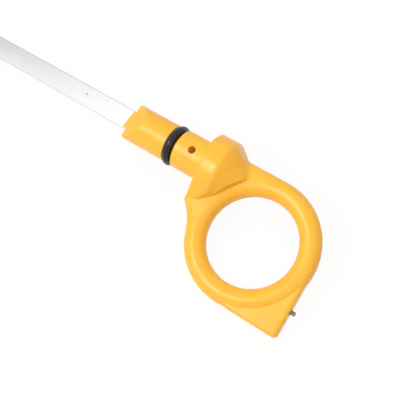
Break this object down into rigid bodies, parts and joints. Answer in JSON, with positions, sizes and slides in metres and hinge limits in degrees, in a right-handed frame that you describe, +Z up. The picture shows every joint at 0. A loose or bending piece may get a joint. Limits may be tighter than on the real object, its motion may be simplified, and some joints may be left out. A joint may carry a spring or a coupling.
{
  "type": "engine oil dipstick",
  "caption": "Long thin steel gauge strip moulded into a plastic handle with a finger ring and a flange, with a sealing ring in a groove on the plug that closes the tube.",
  "frame": {"origin": "middle of the outline in plan, on the floor that the part lies on", "axes": "+X along the part from the handle to the strip's tip, +Z up from the floor, the finger ring to the +Y side of the plug"},
  "size_m": [0.3596, 0.04, 0.0185],
  "materials": {
    "handle_plastic": "satin",
    "blade_steel": "satin",
    "seal_rubber": "matte"
  },
  "bodies": {
    "root": {"handle": "handle_plastic", "blade": "blade_steel", "o_ring": "seal_rubber"}
  },
  "joints": []
}
